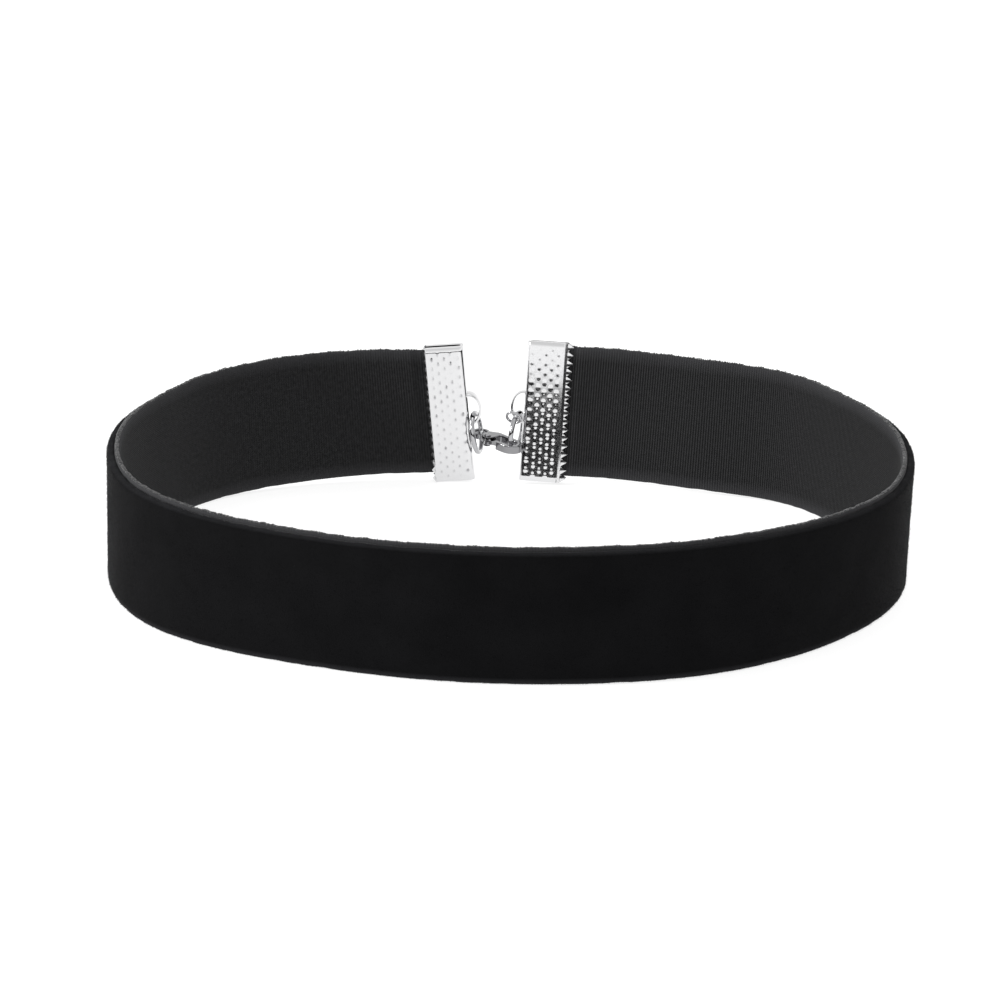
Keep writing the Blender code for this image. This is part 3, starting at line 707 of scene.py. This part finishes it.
def make_edge_thread():
    material, shader = new_material("polyester_edge_thread_painted_glint", {
        "Roughness": 0.55, "IOR": 1.57, "Specular IOR Level": 0.4,
        "Sheen Weight": 0.15, "Sheen Roughness": 0.4,
    })
    noise = add_node(material, "ShaderNodeTexNoise", None, {"Scale": 700.0, "Detail": 1.0})
    # Painted glint: the thread runs from dark to mid grey, far lighter than the black cloth, so the
    # loops show as pale specks.
    tone = ramp(material, noise.outputs["Fac"], (0.45, "#303031"), (0.72, "#8c8c8c"))
    feed(material, shader, "Base Color", tone)
    return material


cloth = {woven_ground: make_woven_back, velvet_pile: make_velvet,
         pile_tufts: make_tuft_fibre, edge_loops: make_edge_thread}
for piece, make in cloth.items():
    dress(piece, make())
    print(piece.name, "is", piece.data.materials[0].name)
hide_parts("ribbon")

# %% [markdown]
# ## The crimp ends
#
# A crimp is pressed from thin steel sheet: dots are embossed to grip and to decorate, teeth are
# cut along both edges, a narrow strip is pushed out of the middle as a loop, and the sheet is
# folded over the ribbon's end and squeezed. The dots stand 0.72 mm apart across the plate and
# 1.13 mm apart up it, every second column half a step higher.
#
# The sheet is a fine grid laid along the fold, from one open edge round to the other. Each point
# of its outer skin rises where it lies on a dot. A bump map would not do here, because the dots
# are seen by what they mirror, and only raised metal mirrors what lies to its sides.
#
# No press is even. Each dot's height strays a little, the dots high on the right plate are
# shallower, and those on the left plate have worn crests. Both skins are pinched at top and bottom.

# %% Sheet of a crimp, with its dots
CRIMP_HEIGHT = 16.2 * MM
CRIMP_PLATE = 4.4 * MM
CRIMP_SHEET = 0.35 * MM
CRIMP_CLEARANCE = 0.2 * MM
HALF_INNER = PINCHED_THICKNESS / 2 + CRIMP_CLEARANCE
HALF_OUTER = HALF_INNER + CRIMP_SHEET
DOT_COLUMN_PITCH = 0.72 * MM
DOT_ROW_PITCH = 1.13 * MM
DOT_FIRST_COLUMN = 1.45 * MM
DOT_COLUMNS = 5
DOT_ROWS = 32
DOT_RADII = (0.25 * MM, 0.37 * MM)
DOT_HEIGHT = 0.045 * MM
DOT_UNEVEN = 0.2
CREST_SHARPNESS = 2.5
SHALLOW_FROM = 2.0 * MM
SHALLOW_BY = 4.0 * MM
DOT_EDGE_MARGIN = 0.6 * MM
GRID_STEP = 0.085 * MM
FOLD_SQUARENESS = 3.2
OUTER_PINCH = 0.2
INNER_PINCH = 0.62
PINCH_HEIGHT = 0.55 * MM


def crimp_matrix(angle, side):
    """Frame at a crimp's fold: X out of the ribbon's end, Y outward, Z up."""
    along, outward, up, middle = (v[0] for v in ribbon_frames(np.array([angle])))
    fold = middle + along * side * CRIMP_MOUTH
    y_axis = unit((outward - up * outward.dot(up))[None])[0]
    x_axis = unit((along * side - up * (along * side).dot(up))[None])[0]
    matrix = Matrix([list(row) for row in np.stack([x_axis, y_axis, up], axis=1)]).to_4x4()
    matrix.translation = Vector(fold)
    return matrix


def dot_relief(walk, height, seed, top_share):
    """Height of the embossing at a distance from the fold and a height on the plate."""
    column = np.clip(np.round((walk - DOT_FIRST_COLUMN) / DOT_COLUMN_PITCH), 0, DOT_COLUMNS - 1)
    shift = (column % 2) * 0.5
    row = np.round(height / DOT_ROW_PITCH - shift) + shift
    x = (walk - DOT_FIRST_COLUMN - column * DOT_COLUMN_PITCH) / DOT_RADII[0]
    z = (height - row * DOT_ROW_PITCH) / DOT_RADII[1]
    pressed = np.random.default_rng(seed).normal(1.0, DOT_UNEVEN, (DOT_COLUMNS, DOT_ROWS))
    pressed = pressed[column.astype(int), np.floor(row).astype(int) % DOT_ROWS]
    shallow = smooth_step((height - SHALLOW_FROM) / (SHALLOW_BY - SHALLOW_FROM))
    depth = DOT_HEIGHT * pressed * (1 - (1 - top_share) * shallow)
    on_plate = np.abs(row * DOT_ROW_PITCH) < CRIMP_HEIGHT / 2 - DOT_EDGE_MARGIN
    return depth * np.clip(1 - np.hypot(x, z), 0.0, 1.0) * on_plate


def skin(walk, radius, relief):
    """Point of a skin of the folded sheet: distance walked from the fold's middle line."""
    side = np.sign(walk)
    bent = np.minimum(np.abs(walk), HALF_OUTER * math.pi / 2) / HALF_OUTER
    straight = np.maximum(np.abs(walk) - HALF_OUTER * math.pi / 2, 0.0)
    x = -HALF_OUTER + (radius + relief) * np.cos(bent) ** (2 / FOLD_SQUARENESS) - straight
    y = side * (radius + relief) * np.sin(bent) ** (2 / FOLD_SQUARENESS)
    return x, y


def build_crimp_sheet(shape, seed, top_share, wear):
    """Folded and embossed sheet, as one closed grid of two skins, pinched at top and bottom."""
    reach = HALF_OUTER * math.pi / 2 + CRIMP_PLATE - HALF_OUTER
    walks = np.linspace(-reach, reach, 2 * round(reach / GRID_STEP) + 1)
    heights = np.linspace(-CRIMP_HEIGHT / 2, CRIMP_HEIGHT / 2, round(CRIMP_HEIGHT / GRID_STEP) + 1)
    from_end = CRIMP_HEIGHT / 2 - np.abs(heights)
    ease = (np.clip(1 - from_end / PINCH_HEIGHT, 0.0, 1.0) ** 2)[:, None]
    relief = dot_relief(np.abs(walks)[None], heights[:, None], seed, top_share)
    worn = shape.verts.layers.float.new("worn")
    skins = []
    for radius, raised, pinch in ((HALF_OUTER, relief, OUTER_PINCH), (HALF_INNER, 0.0, INNER_PINCH)):
        x, y = skin(walks[None], radius, raised)
        x, y = np.broadcast_to(x, (len(heights), len(walks))), y * (1 - pinch * ease)
        skins.append([[shape.verts.new((x[j, i], y[j, i], z)) for i in range(len(walks))]
                      for j, z in enumerate(heights)])
    for row, raised in zip(skins[0], relief):
        for vert, height in zip(row, raised):
            vert[worn] = wear * (height / DOT_HEIGHT) ** CREST_SHARPNESS
    outer, inner = skins
    for rows in skins:
        for row, after in zip(rows, rows[1:]):
            for i in range(len(walks) - 1):
                shape.faces.new((row[i], row[i + 1], after[i + 1], after[i]))
    for j in (0, -1):
        for i in range(len(walks) - 1):
            shape.faces.new((outer[j][i], outer[j][i + 1], inner[j][i + 1], inner[j][i]))
    for i in (0, -1):
        for j in range(len(heights) - 1):
            shape.faces.new((outer[j][i], outer[j + 1][i], inner[j + 1][i], inner[j][i]))


# %% [markdown]
# The teeth are short: the edge of the sheet is turned in towards the ribbon as a narrow lip, and
# the points lie on the cloth beyond it. A pressed tooth is never flat. Each has a ridge down its
# middle, so its upper half mirrors the light above and its lower half the dark cloth. The left
# crimp's teeth are bent in further and show shorter than the right one's.

# %% Teeth along the open edges
TOOTH_PITCH = 0.95 * MM
TOOTH_COUNT = 17
RIDGE_HEIGHT = 0.09 * MM
LIP_SHEET = 0.24 * MM
LIP_ROOT = 0.1 * MM
LIP_SET = 0.02 * MM
TOOTH_ROOT = 0.03 * MM

# Reach and drop of the lip, then of the teeth beyond it, in mm
LEFT_TEETH = (0.14, 0.16, 0.34, 0.25)
RIGHT_TEETH = (0.34, 0.26, 0.7, 0.2)


def build_teeth(shape, side, sizes):
    """Lip and pointed teeth on one open edge. side is 1 for the outer plate and -1 for the inner."""
    lip_reach, lip_drop, tooth_reach, tooth_drop = (size * MM for size in sizes)
    top = HALF_OUTER
    edge, lip = -CRIMP_PLATE, -CRIMP_PLATE - lip_reach
    half = TOOTH_PITCH * TOOTH_COUNT / 2
    profile = ((edge + LIP_ROOT, top - LIP_SET / 2), (edge, top - LIP_SET), (lip, top - lip_drop),
               (lip, top - lip_drop - LIP_SHEET), (edge + LIP_ROOT, top - LIP_SET - LIP_SHEET))
    ends = [[shape.verts.new((x, side * y, z)) for x, y in profile] for z in (-half, half)]
    for k in range(len(profile)):
        j = (k + 1) % len(profile)
        shape.faces.new((ends[0][k], ends[0][j], ends[1][j], ends[1][k]))
    shape.faces.new(ends[0])
    shape.faces.new(ends[1])
    for i in range(TOOTH_COUNT):
        low = -half + i * TOOTH_PITCH
        middle, high = low + TOOTH_PITCH / 2, low + TOOTH_PITCH
        root, base = lip + TOOTH_ROOT, top - lip_drop
        corners = ((root, base, low), (root, base, high), (root, base + RIDGE_HEIGHT, middle),
                   (lip - tooth_reach, base - tooth_drop, middle),
                   (root, base - LIP_SHEET, middle))
        first, last, ridge, tip, under = [shape.verts.new((x, side * y, z)) for x, y, z in corners]
        for face in ((first, ridge, tip), (ridge, last, tip), (first, tip, under),
                     (last, under, tip), (first, under, last, ridge)):
            shape.faces.new(face)


# %% [markdown]
# The loop is the strip that the press pushed out of the fold. It is as wide as the fold and
# rounded by the tool, so its section here is a flat oval swept along half an ellipse, with both
# feet sunk in the fold. The slot that it leaves is cut through the fold with a Boolean, which is
# how the press made it.

# %% Loop and slot of a crimp
LOOP_REACH = 1.5 * MM
LOOP_HALF_HEIGHT = 1.9 * MM
LOOP_STRIP = 0.35 * MM
LOOP_WIDTH = 1.56 * MM
LOOP_RISE = 0.4 * MM
SLOT_CLEARANCE = 0.1 * MM
SWEEP_STEPS = 28
SECTION_POINTS = 16
FLATNESS = 4.0
CRIMP_SHARP_ANGLE = 35


def flat_oval(width, thickness):
    """Section of a rolled strip: a rounded rectangle, from a formula with a flatness."""
    turns = np.linspace(0.0, 2 * math.pi, SECTION_POINTS, endpoint=False)
    across = np.sign(np.cos(turns)) * np.abs(np.cos(turns)) ** (2 / FLATNESS) * width / 2
    through = np.sign(np.sin(turns)) * np.abs(np.sin(turns)) ** (2 / FLATNESS) * thickness / 2
    return np.stack([across, through], axis=1)


def build_loop(shape):
    section = flat_oval(LOOP_WIDTH, LOOP_STRIP)
    rings = []
    for turn in np.linspace(-math.pi / 2, math.pi / 2, SWEEP_STEPS):
        reach, rise = LOOP_REACH - LOOP_STRIP / 2, LOOP_HALF_HEIGHT - LOOP_STRIP / 2
        centre = np.array((reach * math.cos(turn), 0.0, LOOP_RISE + rise * math.sin(turn)))
        tangent = np.array((-reach * math.sin(turn), 0.0, rise * math.cos(turn)))
        normal = np.cross((0.0, 1.0, 0.0), tangent / np.linalg.norm(tangent))
        rings.append([centre + np.array((0.0, y, 0.0)) + normal * n for y, n in section])
    foot = np.array((-HALF_OUTER / 2, 0.0, 0.0))
    rings = [[p + foot for p in rings[0]], *rings, [p + foot for p in rings[-1]]]
    skin_tube(shape, [[shape.verts.new(point) for point in ring] for ring in rings])


def apply_modifiers(piece):
    """Replaces a piece's mesh by what its modifiers make of it."""
    bpy.context.view_layer.update()
    graph = bpy.context.evaluated_depsgraph_get()
    mesh = bpy.data.meshes.new_from_object(piece.evaluated_get(graph))
    piece.modifiers.clear()
    piece.data = mesh


def cut_slot(piece, matrix):
    """Cuts the slot through the fold, and applies the cut."""
    shape = bmesh.new()
    bmesh.ops.create_cube(shape, size=1.0)
    slot = mesh_piece("slot_cutter", shape)
    height = 2 * (LOOP_HALF_HEIGHT - LOOP_STRIP - SLOT_CLEARANCE)
    size = Matrix.Diagonal((2 * HALF_OUTER, LOOP_WIDTH, height, 1.0))
    slot.matrix_world = matrix @ Matrix.Translation((0.0, 0.0, LOOP_RISE)) @ size
    cut = piece.modifiers.new("slot", "BOOLEAN")
    cut.operation = "DIFFERENCE"
    cut.object = slot
    apply_modifiers(piece)
    bpy.data.objects.remove(slot)


def build_crimp(name, matrix, teeth, seed, top_share, wear):
    """One crimp: its sheet with the slot cut, then its teeth and its loop, in one piece."""
    sheet = bmesh.new()
    build_crimp_sheet(sheet, seed, top_share, wear)
    bmesh.ops.recalc_face_normals(sheet, faces=sheet.faces)
    piece = mesh_piece(name, sheet)
    piece.matrix_world = matrix
    cut_slot(piece, matrix)
    shape = bmesh.new()
    shape.from_mesh(piece.data)
    extras = bmesh.new()
    build_loop(extras)
    for side in (-1.0, 1.0):
        build_teeth(extras, side, teeth)
    bmesh.ops.recalc_face_normals(extras, faces=extras.faces)
    added = bpy.data.meshes.new("extras")
    extras.to_mesh(added)
    extras.free()
    shape.from_mesh(added)
    shape.to_mesh(piece.data)
    shape.free()
    piece.data.shade_smooth()
    piece.data.set_sharp_from_angle(angle=math.radians(CRIMP_SHARP_ANGLE))
    piece.data.transform(matrix)
    piece.matrix_world = Matrix.Identity(4)
    return piece


left_matrix = crimp_matrix(PLAN_ANGLES[0], -1.0)
right_matrix = crimp_matrix(PLAN_ANGLES[-1], 1.0)
left_end = build_crimp("left_crimp_end", left_matrix, LEFT_TEETH, 3, 1.0, 1.0)
right_end = build_crimp("right_crimp_end", right_matrix, RIGHT_TEETH, 8, 0.3, 0.0)
for piece, node in ((left_end, "left_crimp"), (right_end, "right_crimp")):
    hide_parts(node)
    points = np.array([v.co for v in piece.data.vertices])
    gap = [abs(points.min(0)[i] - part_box(node)[0][i]) / MM for i in range(3)]
    print(node, "faces:", len(piece.data.polygons), "box differs by mm:", [round(g, 2) for g in gap])

# %% [markdown]
# ## Rings and link
#
# A jump ring is a turn of wire cut straight across, so its two ends meet at a fine seam. A torus
# would have no seam, so the ring is a tube swept round a little less than a full turn. The ring's
# centre, axis and wire are read from its node in the model: the axis is the direction in which
# the node's points spread the least.

# %% Sweep the rings
WIRE_SIDES = 20
RING_STEPS = 120
SEAM_ANGLE = 1.6
SEAM_THICKNESS = 0.93
RING_SHARP_ANGLE = 50


def ring_place(node):
    """Centre, axis, mean radius and wire thickness of a ring node of the model."""
    points = np.array([v.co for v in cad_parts[node].data.vertices])
    centre = points.mean(axis=0)
    axis = np.linalg.svd(points - centre)[2][2]
    flat = points - centre - np.outer((points - centre) @ axis, axis)
    reach = np.linalg.norm(flat, axis=1)
    wire = reach.max() - reach.min()
    return centre, axis, (reach.max() + reach.min()) / 2, wire


def build_ring(name, node, seam_place):
    centre, axis, radius, wire = ring_place(node)
    down = unit((np.array((0.0, 0.0, -1.0)) + axis * axis[2])[None])[0]
    side = np.cross(axis, down)
    seam = math.radians(SEAM_ANGLE)
    turns = np.linspace(seam / 2, 2 * math.pi - seam / 2, RING_STEPS) + math.radians(seam_place)
    around = np.linspace(0.0, 2 * math.pi, WIRE_SIDES, endpoint=False)
    rows = []
    for i, turn in enumerate(turns):
        outward = down * math.cos(turn) + side * math.sin(turn)
        thick = wire / 2 * (SEAM_THICKNESS if i in (0, RING_STEPS - 1) else 1.0)
        rows.append([centre + outward * (radius + thick * math.cos(a)) + axis * thick * math.sin(a)
                     for a in around])
    ring = loft(name, np.array(rows))
    ring.data.set_sharp_from_angle(angle=math.radians(RING_SHARP_ANGLE))
    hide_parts(node)
    print(name, "outer mm:", round((2 * radius + wire) / MM, 2), "wire mm:", round(wire / MM, 2))
    return ring


left_ring = build_ring("left_ring_wire", "left_jump_ring", 150.0)
right_ring = build_ring("right_ring_wire", "right_jump_ring", 200.0)
link = build_ring("small_link_wire", "small_link", 60.0)

# %% [markdown]
# ## The lobster clasp
#
# The clasp is cast in one piece, tumbled until its edges are round, then plated. Its lever is a
# second casting on a rivet. The model has their true outlines with sharp edges. A bevel would
# round each edge by the same amount but leave flat faces between them. Tumbled metal has no flat
# left at all, so the model's mesh is copied, rebuilt from small voxels and smoothed until it flows.
# Tumbling takes metal off too, so the skin is then moved in by 0.05 mm.

# %% Round off the castings
VOXEL = 0.04 * MM
METAL_LOST = 0.05 * MM


def tumble(name, node, passes):
    """Copy of a node with its edges worn round."""
    piece = put_in_scene(name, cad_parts[node].data.copy())
    voxels = piece.modifiers.new("voxels", "REMESH")
    voxels.mode = "VOXEL"
    voxels.voxel_size = VOXEL
    smooth = piece.modifiers.new("tumbling", "SMOOTH")
    smooth.factor = 0.5
    smooth.iterations = passes
    worn = piece.modifiers.new("metal_lost", "DISPLACE")
    worn.mid_level = 0.0
    worn.strength = -METAL_LOST
    apply_modifiers(piece)
    piece.data.shade_smooth()
    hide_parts(node)
    print(name, "faces:", len(piece.data.polygons))
    return piece


clasp_casting = tumble("clasp_casting", "clasp_body", 80)
clasp_arm = tumble("clasp_spring_arm", "clasp_lever", 6)
clasp_rivet = tumble("clasp_rivet", "clasp_pin", 4)

# %% [markdown]
# ## Plated metal
#
# All the metal is steel or a zinc casting with a bright nickel plate. A polished plate has hardly
# any colour of its own: it shows what is round it, here the white room and the black ribbon. So its
# roughness is low, about 0.1, and a very shallow bump bends the mirror images the way a thin
# pressed sheet does. Handling leaves fine scratches, which show as small changes in roughness,
# and worn crests are rougher and duller than the plate round them.

# %% Metal materials
WORN_ROUGHNESS = 0.2
WORN_COLOUR = "#a0a0a2"


def make_plate(name, colour, roughness, ripple):
    """Bright plating with ripples about a millimetre long and fine scratches."""
    material, shader = new_material(name, {
        "Metallic": 1.0,
    })
    place = add_node(material, "ShaderNodeTexCoord").outputs["Object"]
    waves = add_node(material, "ShaderNodeTexNoise", None,
                     {"Vector": place, "Scale": 900.0, "Detail": 2.0, "Roughness": 0.5})
    bump = add_node(material, "ShaderNodeBump", None,
                    {"Strength": 1.0, "Distance": ripple, "Height": waves.outputs["Fac"]})
    feed(material, shader, "Normal", bump.outputs["Normal"])
    scratches = add_node(material, "ShaderNodeTexNoise", None,
                         {"Vector": place, "Scale": 5200.0, "Detail": 3.0, "Distortion": 1.5})
    scuffed = map_range(material, scratches.outputs["Fac"], (0.35, 0.7),
                        (roughness * 0.7, roughness * 1.8))
    crest = add_node(material, "ShaderNodeAttribute", {"attribute_name": "worn"}).outputs["Fac"]
    rough = maths(material, "MULTIPLY_ADD", crest, WORN_ROUGHNESS, scuffed)
    feed(material, shader, "Roughness", rough)
    shade = blend(material, crest, linear(colour), linear(WORN_COLOUR))
    feed(material, shader, "Base Color", shade)
    return material


bright_plate = make_plate("bright_nickel_on_steel_sheet", "#dcdcdd", 0.09, 0.004 * MM)
wire_plate = make_plate("bright_nickel_on_wire", "#b4b4b6", 0.1, 0.003 * MM)
# Painted dark reflection: the casting's colour is far darker than the sheet's, partly a duller cast
# plate and partly standing in for the black ribbon that the clasp mirrors.
cast_plate_painted_dark = make_plate("bright_nickel_on_casting_painted_dark", "#909092", 0.08, 0.02 * MM)
metal = (
    (bright_plate, "plated_crimp", "choker", (left_end, right_end)),
    (wire_plate, "plated_wire", "choker", (left_ring, right_ring, link)),
    (cast_plate_painted_dark, "plated_casting", "choker", (clasp_casting, clasp_rivet)),
    (cast_plate_painted_dark, "plated_casting", "lever", (clasp_arm,)),
)
for plate, node_slot, body, pieces in metal:
    for piece in pieces:
        dress(piece, plate, body)
    print(body + ":", ", ".join(piece.name for piece in pieces), "in", plate.name)

# %% [markdown]
# ## The table and the light
#
# Small goods are photographed on a table of white acrylic that is lit from below, inside a white
# tent. The table glows, so hardly any shadow is left, and the tent gives the metal something
# white to mirror. The floor glows at about four fifths of white, and the light it scatters does
# the rest. The tent is brightest low down, close to the table.

# %% Light table and tent
FLOOR_HALF = 3.0
TENT_LOW = 1.3
TENT_HIGH = 0.85
TENT_BAND_ANGLE = 40.0

shape = bmesh.new()
bmesh.ops.create_grid(shape, x_segments=1, y_segments=1, size=FLOOR_HALF)
floor = mesh_piece("light_table", shape)
acrylic, acrylic_shader = new_material("white_acrylic", {
    "Base Color": linear("#a8a8a8"), "Roughness": 0.9, "IOR": 1.49, "Specular IOR Level": 0.0,
    "Emission Color": linear("#ffffff"), "Emission Strength": 0.78,
})
floor.data.materials.append(acrylic)

tent = bpy.data.worlds.new("tent")
bpy.context.scene.world = tent
tent.use_nodes = True
tent.node_tree.nodes["Background"].inputs["Color"].default_value = linear("#ffffff")
direction = add_node(tent, "ShaderNodeTexCoord").outputs["Generated"]
height = add_node(tent, "ShaderNodeSeparateXYZ", None, {"Vector": direction}).outputs["Z"]
fall = map_range(tent, height, (0.0, math.sin(math.radians(TENT_BAND_ANGLE))),
                 (TENT_LOW, TENT_HIGH))
feed(tent, tent.node_tree.nodes["Background"], "Strength", fall)
bpy.context.scene.view_settings.view_transform = "Standard"


def add_softbox(name, place, aim, size, watts):
    """Square soft light that faces a point."""
    data = bpy.data.lights.new(name, "AREA")
    data.size = size
    data.energy = watts
    lamp = put_in_scene(name, data)
    lamp.location = place
    lamp.rotation_euler = (Vector(aim) - Vector(place)).to_track_quat("-Z", "Y").to_euler()


add_softbox("softbox_left", (-0.6, -0.1, 0.25), (0.0, 0.0, 0.0), 0.15, 3.2)
add_softbox("softbox_above", (0.1, 0.15, 0.7), (0.0, 0.0, 0.0), 0.5, 0.8)
print("tent strength:", TENT_LOW, "to", TENT_HIGH)
